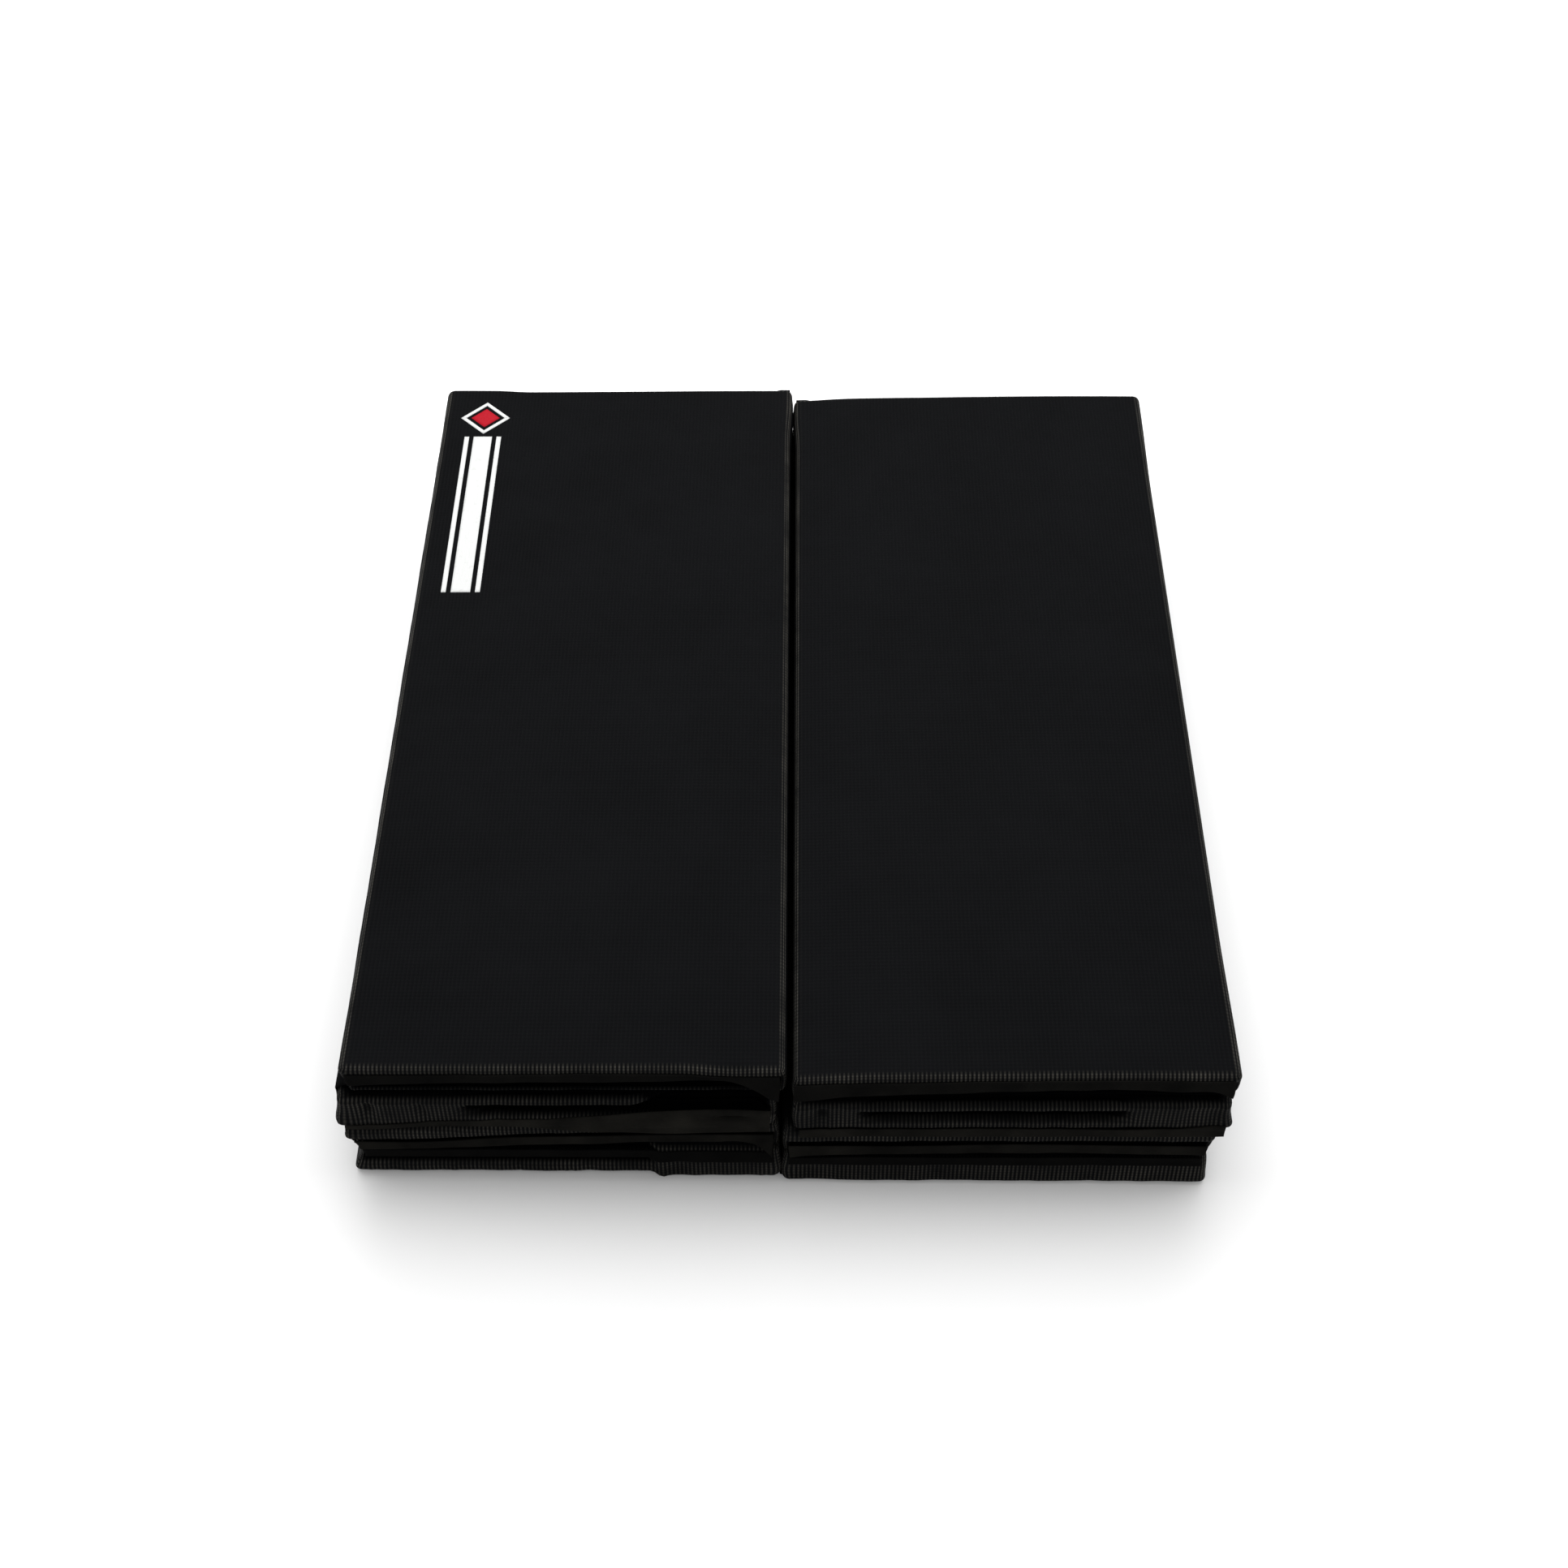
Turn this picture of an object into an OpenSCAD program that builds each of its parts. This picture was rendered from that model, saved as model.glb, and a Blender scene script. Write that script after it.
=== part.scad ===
// Eight-panel folding gym mat, opened at its middle fold: two stacks of four panels lie side by side.
// Panels 1 to 4 are the left stack from top to bottom, panels 5 to 8 the right stack from bottom to top.
// X runs across the folds, Y along them, Z up, with the origin on the floor under the middle.

/* [Panels] */
// Width of one panel, across the folds
panel_w = 381; // [250:1:620]
// Length of one panel, along the folds
panel_l = 914; // [600:1:1830]
// Finished thickness of one panel
panel_t = 40.4; // [30:0.1:60]
// Thickness of the vinyl-coated cover fabric
cover_t = 0.6; // [0.4:0.05:1.2]
// Outer radius of the cover along the panel's long edges
edge_r = 6; // [3:0.5:9]
// Depth of a cover's face half, as a share of the thickness; the back half takes the rest
face_share = 0.6; // [0.4:0.01:0.65]
// Slit between the two halves of a cover along the seam
seam_slit = 0.2; // [0.1:0.05:0.5]

/* [Folds] */
// Gap between two panels that lie on each other
layer_gap = 0.8; // [0.4:0.1:3]
// Gap between the two stacks
stack_gap = 10; // [6:0.5:20]
// Distance from a fold line to the nearer of the two panel sides that it joins
fold_clear = 1.2; // [1:0.1:3]
// Thickness of the fabric web at a fold
web_t = 0.8; // [0.5:0.05:1]
// Height of the part of a web that is sewn to one panel's side
web_reach = 15; // [8:0.5:15]
// Height over which a web swings out to the fold line
web_swing = 4; // [2:0.5:6]
// How much shorter a web is than its panel, at each end
web_inset = 12; // [5:1:30]
// Height of the middle fold's web over the floor
web_lift = 0.3; // [0.2:0.1:1]

/* [End hems] */
// Height of the hem that closes a cover at each end
hem_h = 14; // [8:0.5:16]
// Thickness of the folded hem
hem_t = 1.6; // [1:0.1:3]
// Distance from the hem's ends to the panel's sides
hem_inset = 7; // [6.5:0.5:20]
// Distance from the hem to the panel's face
hem_lift = 9; // [0:0.5:12]

/* [Printed mark] */
// Thickness of the printed film
print_t = 0.25; // [0.1:0.05:0.5]
// Length of the print stripes
stripe_l = 246; // [100:1:300]
// Width of the wide middle stripe
wide_stripe = 20; // [8:0.5:30]
// Width of a thin stripe, and of the gap beside it
thin_stripe = 5; // [2:0.5:8]
// Side of the white diamond frame
frame_side = 38; // [20:0.5:44]
// Side of the hole in the diamond frame
frame_hole = 30; // [12:0.5:36]
// Side of the red diamond in the frame
diamond_side = 22; // [8:0.5:28]
// Distance from the panel's outer side to the middle of the print
print_from_side = 45; // [36:1:90]
// Distance from the panel's back end to the middle of the diamond
print_from_end = 50; // [40:1:120]
// Distance from the middle of the diamond to the stripes
stripe_start = 32; // [30:1:60]

/* [Hidden] */

$fn = 48;
vinyl_black = [0.11, 0.11, 0.12];
hem_black = [0.17, 0.17, 0.18];
web_black = [0.14, 0.14, 0.15];
foam_grey = [0.78, 0.78, 0.75];
print_white = [0.93, 0.94, 0.93];
print_red = [0.78, 0.17, 0.22];

// Height from one layer to the next
pitch = panel_t + layer_gap;
// Layer of each panel, from 0 on the floor to 3 on top
layer = [3, 2, 1, 0, 0, 1, 2, 3];
// 1 where a panel's face, the side that is trained on, looks up; it looks down where this is 0
face_up = [0, 1, 0, 1, 1, 0, 1, 0];
// How far each panel lies out of line across the folds, because stacks are never quite square
lean = [5.95, -2.75, -0.25, 0.75, -6.25, -5.75, 2.75, 2.75];
// How far each panel lies out of line along the folds
slip = [3.5, 1.5, 2.5, 2.5, -3.5, -1.5, 0.5, -0.5];
// Space left round the foam core, inside its cover
foam_clear = 0.1;

// Middle of a panel's underside
function panel_place(k) = [
    (k <= 4 ? -1 : 1) * (stack_gap + panel_w) / 2 + lean[k - 1],
    slip[k - 1],
    layer[k - 1] * pitch
];

// X of a panel's side; way is -1 for its left side and 1 for its right side
function side_x(k, way) = panel_place(k)[0] + way * panel_w / 2;

// X of the fold line between two panels of a stack, just outside both their sides
function fold_x(a, b, way) = way * (max(way * side_x(a, way), way * side_x(b, way)) + fold_clear);

// Height of the fold line between two panels of a stack, in the gap between them
function fold_z(a, b) = max(layer[a - 1], layer[b - 1]) * pitch - layer_gap / 2;

// Cross-section of a panel: a rectangle with rounded corners, standing on the X axis
module rounded_section(w, t, r) {
    translate([-w / 2, r]) square([w, t - 2 * r]);
    translate([r - w / 2, 0]) square([w - 2 * r, t]);
    for (x = [r - w / 2, w / 2 - r], y = [r, t - r])
        translate([x, y]) circle(r);
}

// A solid that runs along Y, with its cross-section's Y axis upright
module along_fold(l) {
    translate([0, l / 2, 0]) rotate([90, 0, 0]) linear_extrude(l) children();
}

// A panel-shaped block that is smaller than the finished panel by a margin all round
module panel_block(margin) {
    translate([0, 0, margin]) along_fold(panel_l - 2 * margin)
        rounded_section(panel_w - 2 * margin, panel_t - 2 * margin, edge_r - margin);
}

// The part of a panel's empty cover that lies between two distances from its face
module cover_between(low, high) {
    intersection() {
        difference() {
            panel_block(0);
            panel_block(cover_t);
        }
        translate([-panel_w, -panel_l, low]) cube([2 * panel_w, 2 * panel_l, high - low]);
    }
}

// Puts a panel's piece, drawn with the face down, where the panel lies
module on_panel(k) {
    up = face_up[k - 1];
    translate(panel_place(k) + [0, 0, up * panel_t]) mirror([0, 0, up]) children();
}

module foam_core(k) {
    color(foam_grey) on_panel(k) panel_block(cover_t + foam_clear);
}

module back_cover(k) {
    color(vinyl_black) on_panel(k)
        cover_between(panel_t * face_share + seam_slit / 2, panel_t + 1);
}

module face_cover(k) {
    color(vinyl_black) on_panel(k)
        cover_between(-1, panel_t * face_share - seam_slit / 2);
}

// Folded hems across both ends of a cover, beside the seam
module end_hems(k) {
    w = panel_w - 2 * hem_inset;
    color(hem_black) on_panel(k)
        for (y = [-panel_l / 2 - hem_t, panel_l / 2])
            translate([-w / 2, y, hem_lift]) cube([w, hem_t, hem_h]);
}

// Web at the side of a stack: sewn to the sides of two panels, it swings out to the fold line between them
module side_web(a, b, way) {
    upper = layer[a - 1] > layer[b - 1] ? a : b;
    lower = upper == a ? b : a;
    x_up = way * side_x(upper, way);
    x_down = way * side_x(lower, way);
    x_fold = way * fold_x(a, b, way);
    z = fold_z(a, b);
    inner = [
        [x_up, z + web_reach], [x_up, z + web_swing],
        [x_fold - web_t, z],
        [x_down, z - web_swing], [x_down, z - web_reach]
    ];
    outer = [for (i = [len(inner) - 1:-1:0]) inner[i] + [web_t, 0]];
    color(web_black) along_fold(panel_l - 2 * web_inset)
        polygon([for (p = concat(inner, outer)) [way * p[0], p[1]]]);
}

// Web between the two stacks: it bridges the gap at the floor and is sewn to both inner sides
module middle_web() {
    left = side_x(4, 1);
    right = side_x(5, -1);
    color(web_black) along_fold(panel_l - 2 * web_inset) difference() {
        translate([left, web_lift]) square([right - left, web_reach]);
        translate([left + web_t, web_lift + web_t]) square([right - left - 2 * web_t, web_reach]);
    }
}

// Puts a piece of print on the top panel of the left stack, with the diamond's middle at the origin
module on_print() {
    place = panel_place(1);
    translate([
        side_x(1, -1) + print_from_side,
        place[1] + panel_l / 2 - print_from_end,
        place[2] + panel_t
    ]) linear_extrude(print_t) children();
}

module print_stripes() {
    color(print_white) on_print() {
        for (stripe = [[0, wide_stripe], [-1, thin_stripe], [1, thin_stripe]]) {
            x = stripe[0] * (wide_stripe + 3 * thin_stripe) / 2;
            translate([x - stripe[1] / 2, -stripe_start - stripe_l]) square([stripe[1], stripe_l]);
        }
    }
}

module print_frame() {
    color(print_white) on_print() rotate(45) difference() {
        square(frame_side, center = true);
        square(frame_hole, center = true);
    }
}

module print_diamond() {
    color(print_red) on_print() rotate(45) square(diamond_side, center = true);
}

foam_core(1);  // foam_core_1
foam_core(2);  // foam_core_2
foam_core(3);  // foam_core_3
foam_core(4);  // foam_core_4
foam_core(5);  // foam_core_5
foam_core(6);  // foam_core_6
foam_core(7);  // foam_core_7
foam_core(8);  // foam_core_8
back_cover(1);  // back_cover_1
back_cover(2);  // back_cover_2
back_cover(3);  // back_cover_3
back_cover(4);  // back_cover_4
back_cover(5);  // back_cover_5
back_cover(6);  // back_cover_6
back_cover(7);  // back_cover_7
back_cover(8);  // back_cover_8
face_cover(1);  // face_cover_1
face_cover(2);  // face_cover_2
face_cover(3);  // face_cover_3
face_cover(4);  // face_cover_4
face_cover(5);  // face_cover_5
face_cover(6);  // face_cover_6
face_cover(7);  // face_cover_7
face_cover(8);  // face_cover_8
end_hems(1);  // end_hems_1
end_hems(2);  // end_hems_2
end_hems(3);  // end_hems_3
end_hems(4);  // end_hems_4
end_hems(5);  // end_hems_5
end_hems(6);  // end_hems_6
end_hems(7);  // end_hems_7
end_hems(8);  // end_hems_8
side_web(1, 2, -1);  // fold_web_12
side_web(2, 3, 1);  // fold_web_23
side_web(3, 4, -1);  // fold_web_34
middle_web();  // fold_web_45
side_web(5, 6, 1);  // fold_web_56
side_web(6, 7, -1);  // fold_web_67
side_web(7, 8, 1);  // fold_web_78
print_stripes();
print_frame();
print_diamond();
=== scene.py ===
import math

import bpy
import numpy as np
from mathutils import Matrix, Vector


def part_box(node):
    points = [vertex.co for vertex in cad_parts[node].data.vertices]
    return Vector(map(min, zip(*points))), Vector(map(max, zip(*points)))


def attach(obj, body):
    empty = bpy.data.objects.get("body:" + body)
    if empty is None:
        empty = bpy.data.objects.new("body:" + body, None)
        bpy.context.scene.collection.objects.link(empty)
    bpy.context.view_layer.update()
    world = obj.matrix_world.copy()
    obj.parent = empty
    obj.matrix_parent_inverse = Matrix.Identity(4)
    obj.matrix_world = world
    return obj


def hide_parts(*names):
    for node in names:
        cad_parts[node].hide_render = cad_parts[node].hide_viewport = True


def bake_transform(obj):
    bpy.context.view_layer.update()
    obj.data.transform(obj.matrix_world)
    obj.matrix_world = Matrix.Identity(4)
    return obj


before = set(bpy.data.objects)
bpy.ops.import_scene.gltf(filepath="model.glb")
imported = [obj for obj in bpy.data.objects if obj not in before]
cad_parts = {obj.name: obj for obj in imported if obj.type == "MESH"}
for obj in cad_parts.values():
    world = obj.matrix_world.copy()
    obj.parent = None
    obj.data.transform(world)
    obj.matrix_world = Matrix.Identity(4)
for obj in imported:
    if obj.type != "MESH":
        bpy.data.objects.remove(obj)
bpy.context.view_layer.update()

# Lengths are in metres, except where a comment says mm.
MM = 0.001
PANELS = range(1, 9)
TOP_PANELS = (1, 8)
FLOOR_PANELS = (4, 5)
EDGE_RADIUS = 6.5 * MM
RIB_PITCH = 3.7 * MM
PICK_PITCH = 3.8 * MM
PANEL_THICKNESS = 40.4  # in mm, where the outlines below end
WAVE_COUNT = 5  # sine waves in each random line
FLOOR_HALF = 80


# ---------------------------------------------------------------- camera, floor and lights

def make_camera():
    """The photograph's viewing angle."""
    place = Vector((0.00890, -1.55015, 1.77098))
    aim = Vector((-0.00275, -0.05460, 0.08200))
    roll = math.radians(-0.120)
    forward = (aim - place).normalized()
    level = forward.cross(Vector((0, 0, 1))).normalized()
    upright = level.cross(forward)
    right = level * math.cos(roll) + upright * math.sin(roll)
    up = upright * math.cos(roll) - level * math.sin(roll)
    camera = bpy.data.objects.new("photo_camera", bpy.data.cameras.new("photo_camera"))
    camera.data.sensor_width = 36
    camera.data.lens = 52.056
    camera.data.clip_start = 0.05
    camera.data.clip_end = 60
    axes = Matrix((right, up, -forward)).transposed().to_4x4()
    camera.matrix_world = Matrix.Translation(place) @ axes
    bpy.context.scene.collection.objects.link(camera)
    bpy.context.scene.camera = camera


def soft_light(name, place, target, width, depth, power):
    lamp = bpy.data.lights.new(name, "AREA")
    lamp.shape = "RECTANGLE"
    lamp.size = width
    lamp.size_y = depth
    lamp.energy = power
    light = bpy.data.objects.new(name, lamp)
    light.location = place
    toward = Vector(target) - Vector(place)
    light.rotation_euler = toward.to_track_quat("-Z", "Y").to_euler()
    light.visible_camera = False
    bpy.context.scene.collection.objects.link(light)


def make_studio():
    """White surroundings, three softboxes above and two low ones at the sides."""
    world = bpy.data.worlds.new("studio")
    world.use_nodes = True
    background = world.node_tree.nodes["Background"]
    background.inputs["Color"].default_value = (1.0, 1.0, 1.0, 1)
    background.inputs["Strength"].default_value = 0.62
    bpy.context.scene.world = world
    bpy.context.scene.view_settings.view_transform = "Standard"
    soft_light("back_softbox", (0, 3.0, 2.6), (0, 3.0, 0), 3.6, 2.4, 150)
    soft_light("top_softbox", (0, 0.6, 2.6), (0, 0.6, 0), 3.6, 2.3, 112)
    soft_light("front_softbox", (-0.1, -2.2, 2.4), (0, 0, 0.1), 2.0, 0.7, 12)
    for side in (-1, 1):
        soft_light(f"side_softbox_{side + 2}", (side * 3.0, 0, 0.4), (0, 0, 0.08), 2.4, 0.5, 55)


# ---------------------------------------------------------------- small tools

def smooth(value, low, high):
    """0 below low, 1 above high, and a smooth step between them."""
    t = np.clip((np.asarray(value, float) - low) / (high - low), 0, 1)
    return t * t * (3 - 2 * t)


def curve(value, knots):
    """A smooth line through the knots, pairs of position and height."""
    xs, ys = np.array(knots, float).T
    slopes = np.gradient(ys, xs)
    value = np.clip(value, xs[0], xs[-1])
    at = np.clip(np.searchsorted(xs, value, side="right") - 1, 0, len(xs) - 2)
    gap = xs[at + 1] - xs[at]
    t = (value - xs[at]) / gap
    low, high = ys[at], ys[at + 1]
    bend = (2 * t**3 - 3 * t**2 + 1) * low + (3 * t**2 - 2 * t**3) * high
    return bend + gap * ((t**3 - 2 * t**2 + t) * slopes[at] + (t**3 - t**2) * slopes[at + 1])


def waves(value, seed, longest):
    """A smooth random line from about -1 to 1, the same for the same seed."""
    draws = np.random.default_rng(seed)
    total = np.zeros_like(np.asarray(value, float))
    weight = 0
    for n in range(WAVE_COUNT):
        size = 1 / (1 + 0.7 * n)
        length = longest / (1 + n * draws.uniform(0.8, 1.2))
        total = total + size * np.sin(2 * math.pi * (value / length + draws.uniform()))
        weight += size * size
    return total / (1.6 * math.sqrt(weight))


def bump_at(value, middle, width):
    """A bell, 1 high at its middle."""
    return np.exp(-(((value - middle) / width) ** 2))


def make_mesh(name, points, faces, uvs=None, marks=None):
    """A smooth-shaded object; uvs has one pair for each corner, marks named values for each point."""
    mesh = bpy.data.meshes.new(name)
    mesh.from_pydata([tuple(p) for p in points], [], [tuple(int(i) for i in f) for f in faces])
    if uvs is not None:
        layer = mesh.uv_layers.new(name="Fabric")
        layer.data.foreach_set("uv", np.asarray(uvs, np.float32).ravel())
    for mark, values in (marks or {}).items():
        layer = mesh.attributes.new(mark, "FLOAT", "POINT")
        layer.data.foreach_set("value", np.asarray(values, np.float32))
    mesh.polygons.foreach_set("use_smooth", [True] * len(mesh.polygons))
    mesh.update()
    piece = bpy.data.objects.new(name, mesh)
    bpy.context.scene.collection.objects.link(piece)
    return piece


def steps(half, rules, coarse):
    """Positions from -half to half: rules pair a distance from an end with the step up to it."""
    ends = [0.0]
    for reach, step in rules:
        count = max(1, round((reach - ends[-1]) / step))
        start = ends[-1]
        ends += [start + (reach - start) * (n + 1) / count for n in range(count)]
    ends = np.array(ends)
    middle = 2 * (half - ends[-1])
    count = max(1, round(middle / coarse))
    inner = np.linspace(-half + ends[-1], half - ends[-1], count + 1)
    return np.concatenate([-half + ends[:-1], inner, (half - ends[:-1])[::-1]])


# ---------------------------------------------------------------- where the panels are

class Panel:
    """One panel's place in the frame, read from its CAD cover."""

    def __init__(self, number):
        self.number = number
        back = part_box(f"back_cover_{number}")
        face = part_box(f"face_cover_{number}")
        low = Vector([min(a, b) for a, b in zip(back[0], face[0])])
        high = Vector([max(a, b) for a, b in zip(back[1], face[1])])
        self.middle = (low + high) / 2
        self.half = (high - low) / 2
        self.face_up = face[1].z > back[1].z
        self.top = high.z
        self.inner = 1 if self.middle.x < 0 else -1
        self.on_top = number in TOP_PANELS
        self.on_floor = number in FLOOR_PANELS


panels = {number: Panel(number) for number in PANELS}
stack_top = max(panel.top for panel in panels.values())


# The gap between the stacks, and how far in mm their tops rise or sink towards it. The last is for
# the right stack's edge by the gap, most of all at the ends.
GAP_X = 2 * MM
LEFT_RISE = 3.0
RIGHT_SINK = 4.5
RIGHT_EDGE_SINK = 4.0


def settle(points, right):
    """Points of the left stack raised a little towards the gap, or of the right stack sunk there."""
    points = np.array(points, float)
    from_gap = np.abs(points[:, 0] - GAP_X)
    height = np.clip(points[:, 2] / stack_top, 0, 1)
    broad = 1 - smooth(from_gap, 0.0, 0.33)
    if right:
        at_ends = smooth(np.abs(points[:, 1]), 0.30, 0.45)
        local = np.exp(-((from_gap / 0.045) ** 2)) * (0.5 + 0.5 * at_ends)
        points[:, 2] -= (RIGHT_SINK * broad + RIGHT_EDGE_SINK * local) * height * MM
    else:
        points[:, 2] += LEFT_RISE * broad * height * MM
    return points


# ---------------------------------------------------------------- the shape of a padded panel

# How a cover's and a foam pad's grids are cut along x, y and z: rules for steps(), and the coarse step
# of the rest, all in mm.
COVER_STEPS = [([(8, 1.8)], 4.2), ([(8, 1.8), (36, 5)], 13), ([(7.2, 1.8)], 1.7)]
FOAM_STEPS = [([(8, 2.7)], 12), ([(8, 2.7), (36, 7)], 30), ([(7.2, 2.4)], 2.6)]
# Share of painted highlight on the rib crests over a cover's ends.
END_GLINT = 0.72

# Outlines of each cover's end in mm: depth below the panel's upper side, and how far it stands proud.
# Panel 3's go past 0 and 40.4, because slump() shifts them.
END_OUTLINES = {
    1: [(0, 0), (6.5, 0.2), (9, -0.4), (12, -5), (17, -14), (26, -15), (33, -12), (36, -4.4),
        (37.8, -3.2), (39.2, -4.2), (40.4, -7)],
    2: [(0, -9), (3.5, -8), (5.5, -1.5), (7.5, 0.5), (9.5, 0.6), (12.5, -5), (17, -14), (23, -14),
        (26, -7), (28, 0.4), (31, 1.8), (36, 2.2), (39, 1.2), (40.4, -0.5)],
    3: [(-14, -7), (4, -7), (9, -5.5), (12, -0.6), (15, 1.0), (20, 1.3), (24, 0.4), (27, -4),
        (31, -12), (36, -13), (40.4, -12), (54, -12)],
    4: [(0, -6), (5, -6), (7.5, -2.5), (9.5, -2.5), (12.5, -8), (17, -14), (21, -12), (24, -3),
        (28, 0.2), (33, 0.4), (37, -1), (40.4, -4)],
    5: [(0, -5), (4, -4.4), (7, -1.4), (11, 0), (18, 0.8), (28, 1.6), (36, 1.8), (40.4, 0.6)],
    6: [(0, -4), (5, -4), (8, -0.8), (11, 0.8), (15, 0.8), (18.5, -1), (22, -6), (28, -12),
        (36, -13), (40.4, -12)],
    7: [(0, -9), (5, -8), (7, -1.5), (9, 0.9), (12.5, 0.5), (15.5, -5), (19, -14), (25, -14),
        (28.5, -7), (31, 0), (34, 1.6), (38, 1.8), (40.4, 0)],
    8: [(0, 0), (6.5, 0.2), (9, -0.4), (12, -5), (17, -14), (26, -15), (34, -13), (37, -7),
        (38.5, -6), (40.4, -8)],
}
# The same for the filled parts of panels 2 and 7, and for panel 4's swelling beside the gap.
FILLED_BLOCK = [(0, -8), (4, -5), (6.5, 0), (12, 0.7), (22, 0.9), (30, 1.4), (36, 1.8), (39, 1.2),
                (40.4, -0.5)]
FLOOR_BULGE = [(0, 0.5), (5, 3.0), (15, 5.0), (25, 5.2), (35, 3.8), (40.4, 2.2)]

# Outlines of each cover's outer side near its front end, in the same way.
SIDE_OUTLINES = {
    1: [(0, 0), (8, 2.3), (16, 2), (26, -1), (40.4, -3)],
    2: [(0, 0), (10, 0.6), (17, 1.5), (32, 4.8), (38, 6), (40.4, 6)],
    3: [(0, 0), (8, 2), (19.5, 3.2), (26, 3.6), (30, -1), (40.4, -4)],
    4: [(0, -4), (13, -4), (24, -1), (34, 3), (40.4, 4)],
    5: [(0, -3), (7, -2.5), (18, -1.5), (27, -1), (40.4, 0.5)],
    6: [(0, -1), (12, 0.5), (27, -0.7), (34, -2.5), (40.4, -3)],
    7: [(0, -0.5), (17, 0), (30, 2.4), (38, 4.4), (40.4, 4.6)],
    8: [(0, 0.8), (6, 2), (16, 2.6), (26, 1.6), (32, -1), (40.4, -3)],
}
# How far in mm the inner sides stand out at their back corners, to close the gap there.
GAP_CLOSING = {1: 2.2, 8: 2.2, 2: 6.4, 7: 6.4}
# Panel 3's end climbs towards the gap: x and how much higher it lies than at its outer corner, in mm.
SLUMP = [(-386, -1), (-321, 0), (-249, 7.2), (-177, 10.4), (-105, 13), (0, 13)]


def span(x, start, end, soft):
    """1 from start to end, in mm, with soft ends."""
    x = x / MM
    return smooth(x, start - soft, start + soft) * (1 - smooth(x, end - soft, end + soft))


def slump(panel, x):
    """How much higher than at its outer corner an end lies, in mm."""
    if panel.number != 3:
        return np.zeros_like(x)
    return curve(x / MM, SLUMP)


def end_shape(panel, x, drop, way):
    """How far an end stands proud of its plane, at x in the frame and drop below the upper side.

    The values are the front end's, judged from the photograph; the back end mirrors them.
    """
    number = panel.number
    mm = drop / MM
    if way > 0:
        x = 2 * panel.middle.x - x
    proud = curve(mm + slump(panel, x), END_OUTLINES[number])
    seed = 10 * number + way
    if number in (2, 7):  # partly hollow, and partly filled with slight creases
        edge = x + 5 * MM * waves(drop, seed + 400, 0.05)
        hollow = span(edge, -272, -8, 18) if number == 2 else span(edge, 72, 296, 14)
        filled = curve(mm, FILLED_BLOCK)
        if number == 2:
            deep = smooth(x, -0.135, -0.095) * (1 - smooth(mm, 11, 16))
            proud = proud + (-13 - proud) * deep
        proud = filled + (proud - filled) * hollow
        folds = span(x, -368, -358, 4) + 0.8 * bump_at(x / MM, -316 + 0.3 * (mm - 20), 4)
        if number == 7:
            folds = bump_at(x / MM, 33, 8) + 0.7 * bump_at(x / MM, 47, 3) + 0.5 * span(x, 347, 380, 5)
        proud = proud - 4.8 * folds * bump_at(mm, 18, 12) * (1 - hollow)
    if number == 4:  # swells beside the gap, with a dimple and a small ridge
        bulge = smooth(x + 2.5 * MM * waves(drop, 5, 0.03), -0.121, -0.113)
        swell = curve(mm, FLOOR_BULGE) - 2.6 * bump_at(x / MM, -92, 11) * bump_at(mm, 20, 11)
        proud = proud + (swell - proud) * bulge
        proud = proud + 1.8 * bump_at(x / MM, -109, 4) * smooth(mm, 8, 24)
    if number == 5:  # dented beside the gap
        proud = proud - 2.5 * (1 - smooth(x, 0.035, 0.056)) * bump_at(mm, 24, 11)
    if number == 1:  # stands out beside the gap, along its upper edge
        proud = proud + 2.4 * smooth(x, -0.090, -0.050) * (1 - smooth(mm, 6, 16))
    if panel.face_up:
        puckers = waves(x, seed + 100, 0.045) * waves(x + 0.4 * drop, seed + 200, 0.17)
        proud = proud + 1.6 * puckers * bump_at(mm, 24, 12)
    proud = proud + 0.5 * waves(x, seed + 300, 0.13) * smooth(mm, 0, 8)
    to_side = panel.half.x - np.abs(x - panel.middle.x)
    open_here = smooth(to_side, 1 * MM, 15 * MM)
    return np.where(proud < -2, -2 + (proud + 2) * open_here, proud) * MM


def end_droop(panel, x, drop):
    """How far an end's loose lower part hangs down, or its upper edge is dented."""
    mm = drop / MM
    if panel.number == 2:
        return 5.0 * MM * (1 - smooth(x, -0.375, -0.300)) * smooth(mm, 27, 38)
    if panel.number == 1:
        return 1.6 * MM * bump_at(x / MM, -42, 18) * (1 - smooth(mm, 2, 14))
    return np.zeros_like(x)


def side_bulge(panel, drop, y, side):
    """How far a panel's long side stands out: as in SIDE_OUTLINES near the ends, gently elsewhere."""
    mm = drop / MM
    gentle = 1.1 * np.sin(math.pi * np.clip(drop / (2 * panel.half.z), 0, 1)) ** 2
    near_end = smooth(np.abs(y), panel.half.y - 0.16, panel.half.y - 0.02)
    if side == panel.inner:
        swell = 1.2 if panel.on_floor else 0.3
        outline = gentle + swell * bump_at(mm, 26, 12)
        closes = GAP_CLOSING.get(panel.number, 0)
        outline = outline + closes * smooth(y, panel.half.y - 0.09, panel.half.y - 0.03)
    else:
        outline = curve(mm, SIDE_OUTLINES[panel.number])
    return (gentle + (outline - gentle) * near_end) * MM


def crown(panel, x, y):
    """Rise of a panel's upper side in its middle; panels that others lie on are flat."""
    if not panel.on_top:
        return np.zeros_like(x)
    across = 1 - np.clip(np.abs(x) / panel.half.x, 0, 1) ** 4
    along = 1 - np.clip(np.abs(y) / panel.half.y, 0, 1) ** 6
    swell = 1.3 + 0.35 * waves(x + 0.6 * y, panel.number, 0.31)
    swell = swell + 0.35 * waves(y - 0.4 * x, panel.number + 40, 0.42)
    return swell * MM * across * along


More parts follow.
